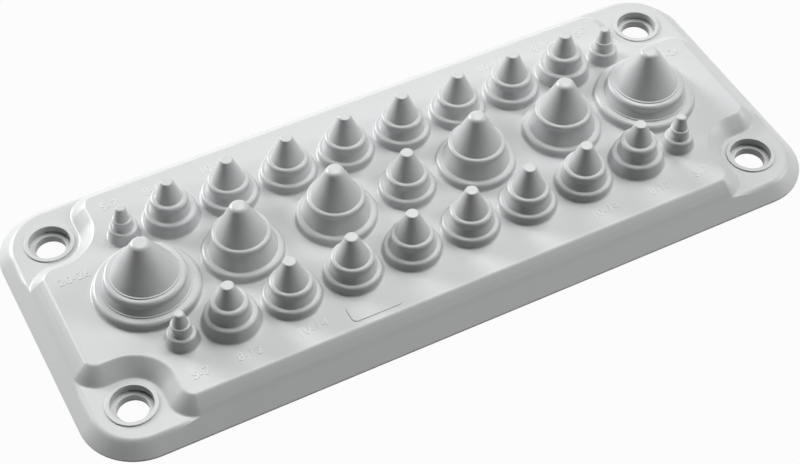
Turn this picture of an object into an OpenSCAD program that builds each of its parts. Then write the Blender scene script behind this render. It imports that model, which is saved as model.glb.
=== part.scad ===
// Cable entry plate: a one-piece elastomer moulding that closes the flange opening of an enclosure.
// A sloped skirt carries a raised field with rows of closed, stepped cone membranes. A cable is
// pushed through a membrane, which stretches around it and seals. Four lowered corner pads hold
// the screws. The seat is the plane z = 0, the origin is its middle, and X runs along the plate.

/* [Plate] */
// Length over the foot of the skirt
plate_l = 230.5; // [228:0.5:250]
// Width over the foot of the skirt
plate_w = 97; // [95:0.5:110]
// Corner radius in plan, at the foot
corner_r = 17; // [12:0.5:20]
// Upright lip around the foot
lip_h = 0.6; // [0.4:0.1:1.2]
// Height of the corner pads above the seat
pad_h = 4.45; // [4:0.05:5]
// Height of the raised field above the seat
field_h = 8.6; // [8:0.1:11]
// Horizontal run of the skirt from the lip to the level of the pads
skirt_run = 4; // [3.6:0.1:4.4]
// Horizontal run of the walls from the level of the pads to the field's edge
wall_run = 4.6; // [4:0.1:4.8]
// How far these walls bow out from straight
wall_bow = 0.15; // [0.05:0.05:0.3]
// Rounding of the field's edge
field_edge_r = 2; // [1:0.1:2.4]
// Rounding of the pads' outer edge
pad_edge_r = 2; // [0.5:0.1:2.4]

/* [Corner pads] */
// Radius of the wall that rises around each hole, at the level of the pad
pad_wall_r = 8.7; // [8.5:0.1:9.5]
// Fillet between the pads and the walls that rise from them
pad_fillet_r = 1.2; // [0.4:0.1:1.6]
// Rounding in plan of the field's shoulders beside each pad, at the level of the pad
shoulder_r = 8; // [7:0.1:9]

/* [Screw holes] */
// Hole to hole distance along the plate
hole_dx = 200; // [196:0.5:206]
// Hole to hole distance across the plate
hole_dy = 64.4; // [60:0.2:68]
// Radius of the through hole
hole_r = 4.5; // [2.5:0.1:5]
// Radius of the counterbore for the screw head
head_r = 6.15; // [5.5:0.05:6.5]
// Height of the counterbore's floor above the seat
head_floor_h = 2.4; // [1.5:0.1:3]
// Width of the raised ring around the counterbore
ring_w = 1.25; // [0.8:0.05:1.6]
// Height of the raised ring above the pad
ring_h = 0.45; // [0.2:0.05:0.8]

/* [Underside] */
// Width of the seat's rim beside the pan
rim_w = 9; // [8.5:0.1:12]
// Thickness of the field above the pan
field_t = 2.4; // [1.6:0.1:3]
// Wall left between the pan and the pads' walls, at the level of the pad
pan_wall = 4.9; // [4.5:0.1:6]
// Corner radius of the pan in plan
pan_corner_r = 4; // [1:0.5:6]
// Wall thickness of the membranes
membrane_t = 1.2; // [0.8:0.1:1.4]

/* [Membrane rows] */
// Distance of the two outer rows from the middle row
row_y = 21.5; // [21:0.1:23]
// Space between neighbouring 10 to 14 mm membranes of an outer row
row_gap = 1.7; // [1:0.1:2.4]
// Space between the 10 to 14 mm and the 8 to 12 mm membranes
row_gap_8 = 1.35; // [1:0.05:2]
// Space between the 8 to 12 mm and the 5 to 7 mm membranes
row_gap_5 = 1.25; // [1:0.05:2]
// Space between the middle membrane and the 14 to 20 mm membranes beside it
mid_gap_10 = 2.4; // [1.5:0.1:3]
// Space between two neighbouring 14 to 20 mm membranes
mid_gap_14 = 5.6; // [4.5:0.1:6]
// Space between the 14 to 20 mm and the 20 to 26 mm membranes
mid_gap_20 = 1.8; // [1:0.1:2.4]

/* [Membrane edges] */
// Slope of the ledges, degrees
ledge_slope = 5; // [0:1:10]
// Rounding of the shoulders, for each millimetre of the ledge's width
shoulder_round = 0.6; // [0.5:0.05:0.85]
// Fillet between a ledge and the wall above it, for each millimetre of the ledge's width
ledge_fillet = 0.15; // [0.05:0.05:0.2]
// How far the wall draws in below an upper shoulder, to its neck
neck = 0.4; // [0.1:0.05:0.5]
// Fillet of the neck, where the wall begins to flare
flare_r = 1.5; // [0.5:0.1:2]
// Rounding of the small steps
bead_r = 0.12; // [0.05:0.01:0.15]
// Fillet at the foot of each membrane
foot_fillet = 0.7; // [0.2:0.1:0.8]

/* [Membranes for 5 to 7 mm cables] */
// Height above the field
m5_h = 11.7; // [10:0.1:13]
// Radius of the tip
m5_tip_r = 1.35; // [1.2:0.05:1.6]
// Rounding of the tip
m5_tip_round = 0.6; // [0.2:0.1:0.8]
// Height of the upper ledge above the field
m5_upper_h = 7.45; // [6.5:0.05:8]
// Radius of the upper shoulder
m5_upper_r = 3.0; // [2.7:0.05:3.1]
// Width of the upper ledge
m5_upper_ledge = 0.7; // [0.6:0.05:1]
// Height of the lower ledge above the field
m5_lower_h = 4.05; // [3.5:0.05:5]
// Radius of the lower shoulder
m5_lower_r = 4.15; // [4:0.05:4.4]
// Width of the lower ledge
m5_lower_ledge = 1.05; // [0.6:0.05:1.2]
// Height above the field at which the wall below the upper ledge begins to flare
m5_flare_h = 5.4; // [5.2:0.05:5.6]
// Radius of the foot
m5_foot_r = 4.85; // [4.7:0.05:5.2]

/* [Membranes for 8 to 12 mm cables] */
// Height above the field
m8_h = 15.4; // [14:0.1:17]
// Radius of the tip
m8_tip_r = 1.7; // [1.4:0.05:2.2]
// Rounding of the tip
m8_tip_round = 0.4; // [0.2:0.1:0.8]
// Height of the upper ledge above the field
m8_upper_h = 9.2; // [8.5:0.05:10]
// Radius of the upper shoulder
m8_upper_r = 5.65; // [5:0.05:5.8]
// Width of the upper ledge
m8_upper_ledge = 1.65; // [1:0.05:1.8]
// Height of the lower ledge above the field
m8_lower_h = 4.35; // [4:0.05:5]
// Radius of the lower shoulder
m8_lower_r = 7.5; // [7.2:0.05:7.8]
// Width of the lower ledge
m8_lower_ledge = 1.45; // [0.8:0.05:1.5]
// Height above the field at which the wall below the upper ledge begins to flare
m8_flare_h = 6.7; // [6.2:0.1:7]
// Radius of the foot
m8_foot_r = 8.5; // [8.2:0.05:8.8]

/* [Membranes for 10 to 14 mm cables] */
// Height above the field
m10_h = 15.4; // [14:0.1:17]
// Radius of the tip
m10_tip_r = 1.75; // [1.4:0.05:2.2]
// Rounding of the tip
m10_tip_round = 0.4; // [0.2:0.1:0.8]
// Height of the upper ledge above the field
m10_upper_h = 7.55; // [7:0.05:8.5]
// Radius of the upper shoulder
m10_upper_r = 6.35; // [5.9:0.05:6.5]
// Width of the upper ledge
m10_upper_ledge = 1.35; // [0.8:0.05:1.5]
// Height of the lower ledge above the field
m10_lower_h = 2.85; // [2.6:0.05:3.5]
// Radius of the lower shoulder
m10_lower_r = 8.3; // [8:0.05:8.35]
// Width of the lower ledge
m10_lower_ledge = 1.3; // [0.8:0.05:1.4]
// Height above the field at which the wall below the upper ledge begins to flare
m10_flare_h = 5.0; // [4.6:0.1:5.6]
// Radius of the foot
m10_foot_r = 8.6; // [8.35:0.05:8.8]

/* [Membranes for 14 to 20 mm cables] */
// Height above the field
m14_h = 19.7; // [18:0.1:22]
// Radius of the tip
m14_tip_r = 2.3; // [1.8:0.05:2.6]
// Rounding of the tip
m14_tip_round = 1.6; // [0.4:0.1:2]
// Height of the upper ledge above the field
m14_upper_h = 9.15; // [9:0.05:11]
// Radius of the upper shoulder
m14_upper_r = 8.7; // [8.2:0.05:9]
// Width of the upper ledge
m14_upper_ledge = 1.3; // [0.8:0.05:1.4]
// Height of the lower ledge above the field
m14_lower_h = 2.5; // [2.4:0.05:3.6]
// Radius of the lower shoulder
m14_lower_r = 11.75; // [11.2:0.05:11.8]
// Width of the lower ledge
m14_lower_ledge = 1.7; // [0.8:0.05:1.8]
// Height above the field at which the wall below the upper ledge begins to flare
m14_flare_h = 7.2; // [6.6:0.1:7.4]
// Radius of the foot
m14_foot_r = 12; // [11.9:0.05:12.4]

/* [Membranes for 20 to 26 mm cables] */
// Height above the field
m20_h = 19.6; // [18:0.1:22]
// Radius of the tip
m20_tip_r = 2.4; // [1.8:0.05:2.8]
// Rounding of the tip
m20_tip_round = 1.6; // [0.4:0.1:2]
// Height of the upper ledge above the field
m20_upper_h = 7.35; // [6.8:0.05:8]
// Radius of the upper shoulder
m20_upper_r = 11.95; // [11.4:0.05:12]
// Width of the upper ledge
m20_upper_ledge = 1.85; // [1:0.05:2]
// Height of the lower ledge above the field
m20_lower_h = 2.7; // [2.5:0.05:3]
// Radius of the lower shoulder
m20_lower_r = 15.2; // [14.8:0.05:15.4]
// Width of the lower ledge
m20_lower_ledge = 2.1; // [1:0.05:2.2]
// Width of the small step above each ledge
m20_bead_w = 0.5; // [0.2:0.05:0.6]
// Height of the small step above each ledge
m20_bead_h = 0.3; // [0.2:0.05:0.5]
// Height above the field at which the wall below the upper ledge begins to flare
m20_flare_h = 4.9; // [4.6:0.1:5.2]
// Radius of the foot
m20_foot_r = 15.6; // [15.5:0.05:16]

/* [Hidden] */

$fn = 96;

// Turn of each straight step that stands for a rounding, degrees
arc_step = 11;
// How far a piece reaches into the piece that it joins
sink = 0.6;
// How far a cut runs past the surface that it opens
past = 1;

// Straight steps that stand for the bow of the walls
wall_steps = 3;
// Slope at which the walls' fillet runs out under the pads and their upper edge over the field
run_out = 10;
// How far they run out, under the pads and over the field
run_under = 3;
run_over = 1.2;
// Height above the pads and below the field of the corners from which they run out
wall_lap = 0.04;
// Slope of the pads' outer edge, and how far inside the skirt it begins
pad_edge_slope = 34;
pad_edge_in = 0.35;

// How far the two bars that cross to make the raised field reach past the skirt
bar_past = 0.1;
// Half sizes of the bars, at the level of the pads
bar_long_x = plate_l / 2 - skirt_run + bar_past;
bar_long_y = hole_dy / 2 - pad_wall_r;
bar_wide_x = hole_dx / 2 - pad_wall_r;
bar_wide_y = plate_w / 2 - skirt_run + bar_past;

// A membrane is [height, tip radius, tip rounding, steps, foot radius], and a step is
// [shoulder radius, ledge width, ledge height, height at which its wall begins to flare or 0]; a small
// step's fifth value is 0, and a shoulder's is 1
m5 = [m5_h, m5_tip_r, m5_tip_round,
      [[m5_upper_r, m5_upper_ledge, m5_upper_h, m5_flare_h, 1],
        [m5_lower_r, m5_lower_ledge, m5_lower_h, 0, 1]], m5_foot_r];
m8 = [m8_h, m8_tip_r, m8_tip_round,
      [[m8_upper_r, m8_upper_ledge, m8_upper_h, m8_flare_h, 1],
        [m8_lower_r, m8_lower_ledge, m8_lower_h, 0, 1]], m8_foot_r];
m10 = [m10_h, m10_tip_r, m10_tip_round,
       [[m10_upper_r, m10_upper_ledge, m10_upper_h, m10_flare_h, 1],
        [m10_lower_r, m10_lower_ledge, m10_lower_h, 0, 1]],
       m10_foot_r];
m14 = [m14_h, m14_tip_r, m14_tip_round,
       [[m14_upper_r, m14_upper_ledge, m14_upper_h, m14_flare_h, 1],
        [m14_lower_r, m14_lower_ledge, m14_lower_h, 0, 1]],
       m14_foot_r];
m20 = [m20_h, m20_tip_r, m20_tip_round,
       [[m20_upper_r - m20_upper_ledge, m20_bead_w, m20_upper_h + m20_bead_h, 0, 0],
        [m20_upper_r, m20_upper_ledge, m20_upper_h, m20_flare_h, 1],
        [m20_lower_r - m20_lower_ledge, m20_bead_w, m20_lower_h + m20_bead_h, 0, 0],
        [m20_lower_r, m20_lower_ledge, m20_lower_h, 0, 1]],
       m20_foot_r];

// Places along the rows, each from its neighbour's foot and the space between them
row_pitch = 2 * m10_foot_r + row_gap;
x_row = [for (i = [0:2]) row_pitch * (i + 0.5)];
x_8 = x_row[2] + m10_foot_r + row_gap_8 + m8_foot_r;
x_5 = x_8 + m8_foot_r + row_gap_5 + m5_foot_r;
x_14a = m10_foot_r + mid_gap_10 + m14_foot_r;
x_14b = x_14a + 2 * m14_foot_r + mid_gap_14;
x_20 = x_14b + m14_foot_r + mid_gap_20 + m20_foot_r;

function unit(v) = v / norm(v);
function xy(p) = [p[0], p[1]];

// Points of the arc of radius r that rounds the corner p between a and b
function corner_arc(a, p, b, r) =
    let (ua = unit(a - p), ub = unit(b - p),
         half = acos(ua * ub) / 2,
         c = p + unit(ua + ub) * r / sin(half),
         s = p + ua * r / tan(half) - c,
         e = p + ub * r / tan(half) - c,
         turn = 180 - 2 * half,
         way = s[0] * e[1] - s[1] * e[0] > 0 ? 1 : -1,
         n = max(1, ceil(turn / arc_step)),
         start = atan2(s[1], s[0]))
    [for (i = [0:n]) c + r * [cos(start + way * turn * i / n), sin(start + way * turn * i / n)]];

// A closed path of [x, y, radius] corners, with each corner rounded
function rounded(path) =
    let (n = len(path))
    [for (i = [0:n - 1])
        let (p = path[i])
        each p[2] > 0
            ? corner_arc(xy(path[(i + n - 1) % n]), xy(p), xy(path[(i + 1) % n]), p[2])
            : [xy(p)]];

// Bowed wall from the level of the pads up to the field, as [run, height]
wall_bowed =
    let (a = [0, pad_h], b = [wall_run, field_h], c = norm(b - a),
         r = c * c / (8 * wall_bow) + wall_bow / 2,
         o = (a + b) / 2 + [b[1] - a[1], a[0] - b[0]] / c * (r - wall_bow),
         from = atan2(a[1] - o[1], a[0] - o[0]),
         to = atan2(b[1] - o[1], b[0] - o[0]))
    [for (i = [0:wall_steps])
        let (t = from + (to - from) * i / wall_steps) o + r * [cos(t), sin(t)]];
function at_height(a, b, z) = a + (b - a) * (z - a[1]) / (b[1] - a[1]);
// The same wall with its fillet and its rounded edge, from under the pad to over the field, as
// [run, height, rounding]
wall_path =
    let (n = wall_steps,
         foot = at_height(wall_bowed[0], wall_bowed[1], pad_h + wall_lap),
         edge = at_height(wall_bowed[n - 1], wall_bowed[n], field_h - wall_lap))
    [[foot[0] - run_under, foot[1] - run_under * tan(run_out), 0],
     [foot[0], foot[1], pad_fillet_r],
     for (i = [1:n - 1]) [wall_bowed[i][0], wall_bowed[i][1], 0],
     [edge[0], edge[1], field_edge_r],
     [edge[0] + run_over, edge[1] + run_over * tan(run_out), 0]];

// Right half of a section through the plate as if it had no pads, half wide at the foot
function plate_section(half) = [
    [0, 0, 0], [half, 0, 0], [half, lip_h, 0],
    for (i = [0:wall_steps])
        [half - skirt_run - wall_bowed[i][0], wall_bowed[i][1], i == wall_steps ? field_edge_r : 0],
    [0, field_h, 0]];
// The same of the low slab whose top makes the pads, half wide at the break of its edge
function pad_section(half) =
    let (out = pad_edge_in + skirt_run + past)
    [[0, -past, 0], [half + out, -past, 0], [half + out, pad_h - out * tan(pad_edge_slope), 0],
     [half, pad_h, pad_edge_r], [0, pad_h, 0]];
// The same of the bars between the pads, half wide at the level of the pads
function wall_section(half) = [
    [0, -past, 0], [half - wall_path[0][0], -past, 0],
    for (p = wall_path) [half - p[0], p[1], p[2]],
    [0, wall_path[len(wall_path) - 1][1], 0]];

// The body of a rounded rectangle, half sizes hx and hy and corner radius r, whose edge follows
// the section that kind names
module edged_slab(hx, hy, r, kind) {
    module section(half)
        polygon(rounded(kind == "plate" ? plate_section(half)
                      : kind == "pad" ? pad_section(half) : wall_section(half)));
    module both_ways(half, run) {
        rotate([90, 0, 90]) linear_extrude(2 * run, center = true) {
            section(half);
            mirror([1, 0]) section(half);
        }
    }
    both_ways(hy, hx - r);
    rotate([0, 0, 90]) both_ways(hx, hy - r);
    for (x = [-1, 1], y = [-1, 1])
        translate([x * (hx - r), y * (hy - r), 0]) rotate_extrude() section(r);
}

// One copy at each screw hole, with the plate's middle towards -X and -Y
module at_holes() {
    for (x = [0, 1], y = [0, 1])
        mirror([x, 0, 0]) mirror([0, y, 0]) translate([hole_dx / 2, hole_dy / 2, 0]) children();
}

// Fills the inner corner between the two bars up to the round wall of the pad
module pad_round_wall() {
    last = wall_path[len(wall_path) - 1];
    reach = pad_wall_r + last[0];
    top = field_h + wall_lap / 2;
    above_pad = [
        [0, wall_path[0][1], 0], for (p = wall_path) [pad_wall_r + p[0], p[1], p[2]],
        [reach, field_h + past, 0], [0, field_h + past, 0]];
    difference() {
        translate([-reach, -reach, -past]) cube([reach, reach, top + past]);
        rotate_extrude() polygon(rounded(above_pad));
    }
}

// Raised ring around the counterbore
module screw_ring() {
    rotate_extrude() polygon(rounded([
        [head_r - ring_w / 2, pad_h - sink, 0], [head_r + ring_w, pad_h - sink, 0],
        [head_r + ring_w, pad_h + ring_h, ring_h * 0.6], [head_r - ring_w / 2, pad_h + ring_h, 0]]));
}

// Stepped hole for a screw
module screw_hole() {
    translate([0, 0, -past]) cylinder(r = hole_r, h = field_h + 2 * past);
    translate([0, 0, head_floor_h]) cylinder(r = head_r, h = field_h);
}

// Outside of a membrane, from the field up
module membrane_outside(m) {
    path = [
        [0, -sink, 0], [m[4] + foot_fillet + sink, -sink, 0], [m[4] + foot_fillet + sink, 0, 0],
        [m[4], 0, foot_fillet],
        for (i = [len(m[3]) - 1:-1:0])
            let (s = m[3][i], drop = s[4] * s[1] * tan(ledge_slope))
            each concat(
                s[3] > 0 ? [[s[0] - neck, s[3], flare_r]] : [],
                [[s[0], s[2] - drop, s[4] == 1 ? s[1] * shoulder_round : bead_r],
                 [s[0] - s[1], s[2], s[4] == 1 && !above_is_bead(m, i) ? s[1] * ledge_fillet : 0]]),
        [m[1], m[0], m[2]], [0, m[0], 0]];
    rotate_extrude() polygon(rounded(path));
}

// Whether the step over step i of the membrane m is a small step
function above_is_bead(m, i) = i > 0 && m[3][i - 1][4] == 0;

// Hollow of a membrane, open to the pan below the field
module membrane_hollow(m) {
    t = membrane_t;
    path = [
        [0, -field_t - past], [m[4] - t, -field_t - past],
        for (i = [len(m[3]) - 1:-1:0])
            let (s = m[3][i], drop = s[4] * s[1] * tan(ledge_slope))
            each concat(
                s[3] > 0 ? [[s[0] - neck - t, s[3] - t / 2]] : [],
                [[s[0] - t, s[2] - drop - t], [s[0] - s[1] - t, s[2] - t]]),
        [max(m[1] - t, t / 2), m[0] - t], [0, m[0] - t]];
    rotate_extrude() polygon(path);
}

// Every membrane's place: one copy of the children for each membrane of the type m
module at_membranes(m) {
    places = m == m5 ? [for (x = [-x_5, x_5], y = [-row_y, row_y]) [x, y]]
           : m == m8 ? [for (x = [-x_8, x_8], y = [-row_y, row_y]) [x, y]]
           : m == m10 ? concat([[0, 0]], [for (x = x_row, s = [-1, 1], y = [-row_y, row_y]) [s * x, y]])
           : m == m14 ? [for (x = [-x_14b, -x_14a, x_14a, x_14b]) [x, 0]]
           : [[-x_20, 0], [x_20, 0]];
    for (p = places) translate([p[0], p[1], field_h]) children();
}

// Pan under the field, between the seat's rim and the four pads
module pan() {
    pad_side = pad_wall_r + pan_wall;
    module bar(hx, hy) {
        for (x = [-1, 1], y = [-1, 1])
            translate([x * (hx - pan_corner_r), y * (hy - pan_corner_r)]) circle(pan_corner_r);
        square([2 * hx, 2 * (hy - pan_corner_r)], center = true);
        square([2 * (hx - pan_corner_r), 2 * hy], center = true);
    }
    translate([0, 0, -past]) linear_extrude(field_h - field_t + past) {
        bar(plate_l / 2 - rim_w, hole_dy / 2 - pad_side);
        bar(hole_dx / 2 - pad_side, plate_w / 2 - rim_w);
    }
}

// Plate without holes: the pads lie low, and two crossed bars with round walls around the pads
// reach up to the field, all inside the plate's skirt
module solid_plate() {
    pad_inset = skirt_run + pad_edge_in;
    intersection() {
        edged_slab(plate_l / 2, plate_w / 2, corner_r, "plate");
        union() {
            edged_slab(plate_l / 2 - pad_inset, plate_w / 2 - pad_inset, corner_r - pad_inset, "pad");
            edged_slab(bar_long_x, bar_long_y, shoulder_r, "wall");
            edged_slab(bar_wide_x, bar_wide_y, shoulder_r, "wall");
            at_holes() pad_round_wall();
        }
    }
}

module entry_plate() {
    color("lightgray")
    difference() {
        union() {
            solid_plate();
            at_holes() screw_ring();
            for (m = [m5, m8, m10, m14, m20]) at_membranes(m) membrane_outside(m);
        }
        pan();
        at_holes() screw_hole();
        for (m = [m5, m8, m10, m14, m20]) at_membranes(m) membrane_hollow(m);
    }
}

entry_plate();
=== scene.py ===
"""Looks of the cable entry plate: its elastomer finish, its raised marks and the studio."""

import logging
import math
from collections.abc import Iterable
from dataclasses import dataclass, field
from enum import Enum
from typing import Any

import bmesh
import bpy
from mathutils import Euler, Matrix, Vector


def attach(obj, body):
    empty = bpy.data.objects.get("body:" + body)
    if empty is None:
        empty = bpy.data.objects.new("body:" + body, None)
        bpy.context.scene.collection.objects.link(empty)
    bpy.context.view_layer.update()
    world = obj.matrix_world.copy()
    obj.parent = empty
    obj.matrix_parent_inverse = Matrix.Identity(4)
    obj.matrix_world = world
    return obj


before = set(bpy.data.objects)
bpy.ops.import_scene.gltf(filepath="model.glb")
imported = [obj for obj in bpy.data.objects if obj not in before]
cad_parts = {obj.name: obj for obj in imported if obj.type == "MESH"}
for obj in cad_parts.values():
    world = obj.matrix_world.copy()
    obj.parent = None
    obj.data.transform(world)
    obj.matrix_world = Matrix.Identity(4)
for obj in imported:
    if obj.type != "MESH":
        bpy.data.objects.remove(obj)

LOG = logging.getLogger("entry_plate")
BODY = "root"
PLATE_NODE = "entry_plate"
# Lengths in this script are in millimetres, and Blender takes metres.
MM = 0.001
# Height of the raised field above the plate's seat.
FIELD_Z = 8.6
WHITE = "#FFFFFF"
# Numbers of the mix node's colour sockets, because that node has several sockets of one name.
MIX_SHARE = 0
MIX_FIRST = 6
MIX_SECOND = 7
MIX_RESULT = 2

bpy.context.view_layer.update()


def linear(hex_colour: str) -> tuple[float, float, float, float]:
    """Turns an sRGB hex colour into the linear colour that shaders take.

    Args:
        hex_colour: Six hex digits, with or without a leading hash sign.

    Returns:
        Red, green, blue and an alpha of 1.
    """
    digits = hex_colour.lstrip("#")
    values = []
    for start in (0, 2, 4):
        share = int(digits[start:start + 2], 16) / 255
        values.append(share / 12.92 if share <= 0.04045 else ((share + 0.055) / 1.055) ** 2.4)
    return values[0], values[1], values[2], 1.0


def add_node(
    tree: bpy.types.NodeTree,
    kind: str,
    settings: dict[str, Any] | None = None,
    sockets: dict[str | int, Any] | None = None,
) -> bpy.types.Node:
    """Adds one node with its settings and links.

    Args:
        tree: The node tree that takes the node.
        kind: Blender's type name of the node.
        settings: The node's own properties and their values.
        sockets: Input sockets by name or number, each with a value or with the output that feeds it.

    Returns:
        The new node.
    """
    node = tree.nodes.new(kind)
    for name, value in (settings or {}).items():
        setattr(node, name, value)
    for key, value in (sockets or {}).items():
        if isinstance(value, bpy.types.NodeSocket):
            tree.links.new(value, node.inputs[key])
        else:
            node.inputs[key].default_value = value
    return node


def per_metre(size_mm: float) -> float:
    """Gives the pattern scale, in features per metre, of a feature size in millimetres."""
    return 1.0 / (size_mm * MM)


def new_tree(owner: bpy.types.Material | bpy.types.World) -> bpy.types.NodeTree:
    """Switches a material or a world to nodes and clears them.

    Args:
        owner: The material or the world.

    Returns:
        Its empty node tree.
    """
    owner.use_nodes = True
    owner.node_tree.nodes.clear()
    return owner.node_tree


def shown_as_white(tree: bpy.types.NodeTree) -> bpy.types.NodeSocket:
    """Finds the rays that show the background: those of the camera, of reflections and through glass.

    Args:
        tree: The node tree that takes the nodes.

    Returns:
        The output that is 1 for these rays and 0 for all others.
    """
    path = add_node(tree, "ShaderNodeLightPath")
    seen = add_node(
        tree,
        "ShaderNodeMath",
        {"operation": "MAXIMUM"},
        {0: path.outputs["Is Camera Ray"], 1: path.outputs["Is Glossy Ray"]},
    )
    shown = add_node(
        tree,
        "ShaderNodeMath",
        {"operation": "MAXIMUM"},
        {0: seen.outputs[0], 1: path.outputs["Is Transmission Ray"]},
    )
    return shown.outputs[0]


@dataclass(frozen=True)
class MouldedElastomer:
    """Light grey thermoplastic elastomer, injection moulded in a spark-eroded mould.

    The eroded mould leaves an even, very fine matt grain with a soft and wide highlight. The melt leaves
    faint cloudy differences in tone, some centimetres long.
    """

    name: str = "tpe_grey_moulded_matt"
    colour: str = "#BABBBB"
    cloud_colour: str = "#B5B6B7"
    cloud_mm: float = 34.0
    cloud_detail: float = 3.0
    cloud_breakup: float = 0.5
    # The real grain is about 0.05 mm; it is drawn coarser here, so that it shows at all.
    grain_mm: float = 0.35
    grain_detail: float = 2.0
    grain_breakup: float = 0.6
    grain_depth_mm: float = 0.012
    grain_strength: float = 0.35
    # Most of the grain's noise lies between these two values.
    grain_low: float = 0.3
    grain_high: float = 0.7
    roughness_low: float = 0.33
    roughness_high: float = 0.43
    ior: float = 1.5

    def material(self) -> bpy.types.Material:
        """Builds the finish.

        Returns:
            The material, or the one that was already made under this name.
        """
        known = bpy.data.materials.get(self.name)
        if known:
            return known
        material = bpy.data.materials.new(self.name)
        tree = new_tree(material)
        place = add_node(tree, "ShaderNodeTexCoord").outputs["Object"]
        clouds = add_node(
            tree,
            "ShaderNodeTexNoise",
            sockets={
                "Vector": place,
                "Scale": per_metre(self.cloud_mm),
                "Detail": self.cloud_detail,
                "Roughness": self.cloud_breakup,
            },
        )
        tone = add_node(
            tree,
            "ShaderNodeMix",
            {"data_type": "RGBA"},
            {
                MIX_SHARE: clouds.outputs["Fac"],
                MIX_FIRST: linear(self.colour),
                MIX_SECOND: linear(self.cloud_colour),
            },
        )
        grain = add_node(
            tree,
            "ShaderNodeTexNoise",
            sockets={
                "Vector": place,
                "Scale": per_metre(self.grain_mm),
                "Detail": self.grain_detail,
                "Roughness": self.grain_breakup,
            },
        )
        roughness = add_node(
            tree,
            "ShaderNodeMapRange",
            sockets={
                "Value": grain.outputs["Fac"],
                "From Min": self.grain_low,
                "From Max": self.grain_high,
                "To Min": self.roughness_low,
                "To Max": self.roughness_high,
            },
        )
        bump = add_node(
            tree,
            "ShaderNodeBump",
            sockets={
                "Strength": self.grain_strength,
                "Distance": self.grain_depth_mm * MM,
                "Height": grain.outputs["Fac"],
            },
        )
        shader = add_node(
            tree,
            "ShaderNodeBsdfPrincipled",
            sockets={
                "Base Color": tone.outputs[MIX_RESULT],
                "Roughness": roughness.outputs["Result"],
                "IOR": self.ior,
                "Normal": bump.outputs["Normal"],
            },
        )
        add_node(tree, "ShaderNodeOutputMaterial", sockets={"Surface": shader.outputs["BSDF"]})
        return material


# The figures are engraved in the mould and polished there, so that they come out smoother than the field.
# Their colour is a lighter copy of the field's: a painted highlight for the light that their raised tops
# catch.
FIGURE_FINISH_PAINTED_HIGHLIGHT = MouldedElastomer(
    name="tpe_grey_smooth_painted_highlight",
    colour="#C6C7C7",
    cloud_colour="#C2C3C4",
    grain_strength=0.1,
)


@dataclass(frozen=True)
class PaperSweep:
    """Matt grey paper of a product table.

    It throws little light back at the plate. The camera and the reflections see white in its place, with a
    faint shadow.
    """

    name: str = "paper_sweep_grey_matt"
    colour: str = "#7C7C7C"
    roughness: float = 0.9
    white_share: float = 0.96

    def material(self) -> bpy.types.Material:
        """Builds the sweep's paper.

        Returns:
            The material.
        """
        material = bpy.data.materials.new(self.name)
        tree = new_tree(material)
        share = add_node(
            tree,
            "ShaderNodeMath",
            {"operation": "MULTIPLY"},
            {0: shown_as_white(tree), 1: self.white_share},
        )
        paper = add_node(
            tree,
            "ShaderNodeBsdfPrincipled",
            sockets={"Base Color": linear(self.colour), "Roughness": self.roughness},
        )
        white = add_node(tree, "ShaderNodeEmission", sockets={"Color": linear(WHITE), "Strength": 1.0})
        both = add_node(
            tree,
            "ShaderNodeMixShader",
            sockets={0: share.outputs[0], 1: paper.outputs["BSDF"], 2: white.outputs["Emission"]},
        )
        add_node(tree, "ShaderNodeOutputMaterial", sockets={"Surface": both.outputs["Shader"]})
        return material


class Side(Enum):
    """The long sides of the field, by the sign of Y."""

    NEAR = -1
    FAR = 1


def piece_from(mesh: bpy.types.Mesh, name: str, finish: MouldedElastomer) -> bpy.types.Object:
    """Makes a piece of a mesh, dresses it and lets it ride on the plate.

    Args:
        mesh: The finished mesh, in its place.
        name: The piece's name.
        finish: The finish that it takes.

    Returns:
        The piece.
    """
    mesh.name = name
    mesh.materials.clear()
    mesh.materials.append(finish.material())
    piece = bpy.data.objects.new(name, mesh)
    bpy.context.scene.collection.objects.link(piece)
    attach(piece, BODY)
    return piece


@dataclass
class Moulding:
    """The plate itself: the CAD node with a welded, softly shaded surface and its finish."""

    weld_gap: float = 0.002
    crease_deg: float = 28.0
    # Faces count for the shading in step with their area.
    area_weight: int = 50
    finish: MouldedElastomer = field(default_factory=MouldedElastomer)

    def build(self) -> list[bpy.types.Object]:
        """Dresses the CAD node.

        Returns:
            The node's object, in a list.
        """
        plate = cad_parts[PLATE_NODE]
        plate.data.materials.clear()
        plate.data.materials.append(self.finish.material())
        self.shade(plate)
        return [plate]

    def shade(self, plate: bpy.types.Object) -> None:
        """Joins the loose triangles, splits them again at creases only and evens out their normals.

        Args:
            plate: The plate's object.
        """
        weld = plate.modifiers.new("weld", "WELD")
        weld.merge_threshold = self.weld_gap * MM
        creases = plate.modifiers.new("creases", "EDGE_SPLIT")
        creases.use_edge_angle = True
        creases.use_edge_sharp = False
        creases.split_angle = math.radians(self.crease_deg)
        normals = plate.modifiers.new("normals", "WEIGHTED_NORMAL")
        normals.mode = "FACE_AREA"
        normals.weight = self.area_weight


@dataclass(frozen=True)
class RangeMark:
    """One raised cable range: its figures and the middle of its place."""

    figures: str
    x: float
    y: float

    @property
    def name(self) -> str:
        """Gives the piece's name, from the figures and the place.

        Returns:
            The name.
        """
        end = "left" if self.x < 0 else "right"
        side = "near" if self.y < 0 else "far"
        return f"mark_{self.figures.replace('-', '_')}_{side}_{end}"


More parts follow.
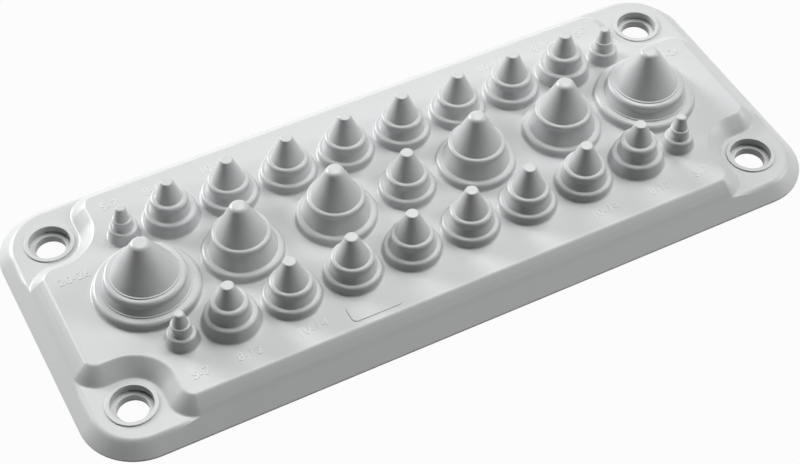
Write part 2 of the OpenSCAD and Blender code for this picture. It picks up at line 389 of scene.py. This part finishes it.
@dataclass
class RangeMarks:
    """Raised figures on the field that give each membrane's cable range in millimetres."""

    type_size: float = 4.15
    height: float = 0.08
    sunk: float = 0.1
    rounding: float = 0.04
    rounding_steps: int = 1
    curve_steps: int = 4
    row_y: float = 34.2
    end_x: float = 98.9
    end_y: float = 13.0
    side_marks: tuple[tuple[str, float], ...] = (("5-7", 80.3), ("8-12", 65.9), ("10-14", 47.0))
    end_mark: str = "20-26"
    # The figures take the lighter copy of the elastomer, which is a painted highlight.
    finish: MouldedElastomer = FIGURE_FINISH_PAINTED_HIGHLIGHT

    def marks(self) -> list[RangeMark]:
        """Lists the marks of both long sides and both ends.

        Returns:
            The marks.
        """
        found = []
        for side in Side:
            for figures, x in self.side_marks:
                found.append(RangeMark(figures, -x, side.value * self.row_y))
                found.append(RangeMark(figures, x, side.value * self.row_y))
        found.append(RangeMark(self.end_mark, -self.end_x, self.end_y))
        found.append(RangeMark(self.end_mark, self.end_x, self.end_y))
        return found

    def build(self) -> list[bpy.types.Object]:
        """Makes a piece of each mark."""
        return [piece_from(self.mesh(mark), mark.name, self.finish) for mark in self.marks()]

    def mesh(self, mark: RangeMark) -> bpy.types.Mesh:
        """Sets the figures as type, turns them into a mesh and puts it on the field.

        Args:
            mark: The figures and their place.

        Returns:
            The mesh, in its place.
        """
        curve = bpy.data.curves.new(mark.name, "FONT")
        curve.body = mark.figures
        curve.size = self.type_size * MM
        curve.align_x = "CENTER"
        curve.align_y = "CENTER"
        curve.extrude = 0.5 * (self.height + self.sunk) * MM - self.rounding * MM
        curve.bevel_depth = self.rounding * MM
        curve.bevel_resolution = self.rounding_steps
        curve.offset = -self.rounding * MM
        curve.resolution_u = self.curve_steps
        type_object = bpy.data.objects.new(mark.name, curve)
        bpy.context.scene.collection.objects.link(type_object)
        view = bpy.context.evaluated_depsgraph_get()
        mesh = bpy.data.meshes.new_from_object(type_object.evaluated_get(view))
        bpy.data.objects.remove(type_object)
        bpy.data.curves.remove(curve)
        middle = FIELD_Z + 0.5 * (self.height - self.sunk)
        mesh.transform(Matrix.Translation(Vector((mark.x, mark.y, middle)) * MM))
        return mesh


@dataclass
class LabelPad:
    """A blank raised pad for a stamp, on the near side of the field."""

    name: str = "label_pad"
    x: float = -28.35
    y: float = -34.75
    length: float = 15.6
    width: float = 6.3
    corner_r: float = 1.6
    corner_segments: int = 8
    height: float = 0.2
    sunk: float = 0.1
    edge_r: float = 0.08
    edge_segments: int = 2
    finish: MouldedElastomer = field(default_factory=MouldedElastomer)

    def build(self) -> list[bpy.types.Object]:
        """Makes a piece of the pad."""
        return [piece_from(self.mesh(), self.name, self.finish)]

    def mesh(self) -> bpy.types.Mesh:
        """Rounds a rectangle, raises it and breaks its upper edge.

        Returns:
            The mesh, in its place.
        """
        shape = bmesh.new()
        bmesh.ops.create_grid(shape, x_segments=1, y_segments=1, size=0.5 * MM)
        bmesh.ops.scale(shape, verts=shape.verts, vec=(self.length, self.width, 1.0))
        bmesh.ops.bevel(
            shape,
            geom=shape.verts[:],
            offset=self.corner_r * MM,
            offset_type="OFFSET",
            affect="VERTICES",
            segments=self.corner_segments,
            profile=0.5,
            material=-1,
        )
        raised = bmesh.ops.extrude_face_region(shape, geom=shape.faces[:])
        top = [part for part in raised["geom"] if isinstance(part, bmesh.types.BMVert)]
        bmesh.ops.translate(shape, verts=top, vec=(0.0, 0.0, (self.height + self.sunk) * MM))
        rim = [edge for edge in shape.edges if all(vert in top for vert in edge.verts)]
        bmesh.ops.bevel(
            shape,
            geom=rim,
            offset=self.edge_r * MM,
            offset_type="OFFSET",
            affect="EDGES",
            segments=self.edge_segments,
            profile=0.5,
            material=-1,
        )
        bmesh.ops.recalc_face_normals(shape, faces=shape.faces)
        bmesh.ops.translate(
            shape,
            verts=shape.verts,
            vec=Vector((self.x, self.y, FIELD_Z - self.sunk)) * MM,
        )
        mesh = bpy.data.meshes.new(self.name)
        shape.to_mesh(mesh)
        shape.free()
        return mesh


@dataclass(frozen=True)
class SoftLamp:
    """One large softbox that looks at the plate.

    Its turn is measured from the camera's side, counter-clockwise from above, and its power is in watts.
    """

    name: str
    turn_deg: float
    rise_deg: float
    power: float
    size: float
    distance: float = 2400.0


@dataclass
class Studio:
    """The floor, the lamps and the camera of the photograph."""

    camera_at: tuple[float, float, float] = (-163.589, -316.493, 397.275)
    camera_turn_deg: tuple[float, float, float] = (41.1169, 0.2803, -27.3024)
    focal_length: float = 80.694
    sensor_w: float = 36.0
    clip_start: float = 10.0
    floor_r: float = 3000.0
    floor_segments: int = 96
    backdrop_h: float = 600.0
    room_light: float = 0.01
    lamps: tuple[SoftLamp, ...] = (
        SoftLamp("left", turn_deg=236.0, rise_deg=21.0, power=68.0, size=900.0),
        SoftLamp("back", turn_deg=159.0, rise_deg=67.0, power=53.0, size=1500.0),
        SoftLamp("right", turn_deg=102.0, rise_deg=32.0, power=25.5, size=900.0),
    )
    sweep: PaperSweep = field(default_factory=PaperSweep)

    def build(self) -> None:
        """Sets up the view, the floor, the room's light, the lamps and the camera."""
        bpy.context.scene.view_settings.view_transform = "Standard"
        self.build_floor()
        self.build_room()
        for lamp in self.lamps:
            self.build_lamp(lamp)
        self.build_camera()

    def build_floor(self) -> None:
        """Lays the paper under the plate and turns its edge up as a low backdrop."""
        shape = bmesh.new()
        bmesh.ops.create_circle(
            shape,
            cap_ends=True,
            segments=self.floor_segments,
            radius=self.floor_r * MM,
        )
        raised = bmesh.ops.extrude_edge_only(shape, edges=shape.edges[:])
        top = [part for part in raised["geom"] if isinstance(part, bmesh.types.BMVert)]
        bmesh.ops.translate(shape, verts=top, vec=(0.0, 0.0, self.backdrop_h * MM))
        mesh = bpy.data.meshes.new("floor")
        shape.to_mesh(mesh)
        shape.free()
        mesh.materials.append(self.sweep.material())
        floor = bpy.data.objects.new("floor", mesh)
        bpy.context.scene.collection.objects.link(floor)

    def build_room(self) -> None:
        """Fills the room with a low, even light."""
        world = bpy.data.worlds.new("room")
        bpy.context.scene.world = world
        tree = new_tree(world)
        light = add_node(
            tree,
            "ShaderNodeBackground",
            sockets={"Color": linear(WHITE), "Strength": self.room_light},
        )
        add_node(tree, "ShaderNodeOutputWorld", sockets={"Surface": light.outputs["Background"]})

    def build_lamp(self, lamp: SoftLamp) -> None:
        """Hangs one softbox and turns it to the plate.

        Args:
            lamp: The softbox's place, size and power.
        """
        start = math.atan2(self.camera_at[1], self.camera_at[0])
        turn = start + math.radians(lamp.turn_deg)
        rise = math.radians(lamp.rise_deg)
        way = Vector((math.cos(rise) * math.cos(turn), math.cos(rise) * math.sin(turn), math.sin(rise)))
        light = bpy.data.lights.new(f"softbox_{lamp.name}", "AREA")
        light.size = lamp.size * MM
        light.energy = lamp.power
        softbox = bpy.data.objects.new(light.name, light)
        softbox.location = way * lamp.distance * MM
        softbox.rotation_euler = (-way).to_track_quat("-Z", "Y").to_euler()
        bpy.context.scene.collection.objects.link(softbox)

    def build_camera(self) -> None:
        """Puts the camera at the photograph's place, turn and focal length."""
        lens = bpy.data.cameras.new("camera")
        lens.sensor_fit = "HORIZONTAL"
        lens.sensor_width = self.sensor_w
        lens.lens = self.focal_length
        lens.clip_start = self.clip_start * MM
        camera = bpy.data.objects.new("camera", lens)
        camera.location = Vector(self.camera_at) * MM
        camera.rotation_euler = Euler([math.radians(angle) for angle in self.camera_turn_deg])
        bpy.context.scene.collection.objects.link(camera)
        bpy.context.scene.camera = camera


def main() -> None:
    """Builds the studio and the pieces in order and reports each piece."""
    logging.basicConfig(level=logging.INFO, format="%(name)s: %(message)s")
    Studio().build()
    for assembly in (Moulding(), RangeMarks(), LabelPad()):
        for piece in assembly.build():
            LOG.info("%s: %s, %d faces", type(assembly).__name__, piece.name, len(piece.data.polygons))


if __name__ == "__main__":
    main()
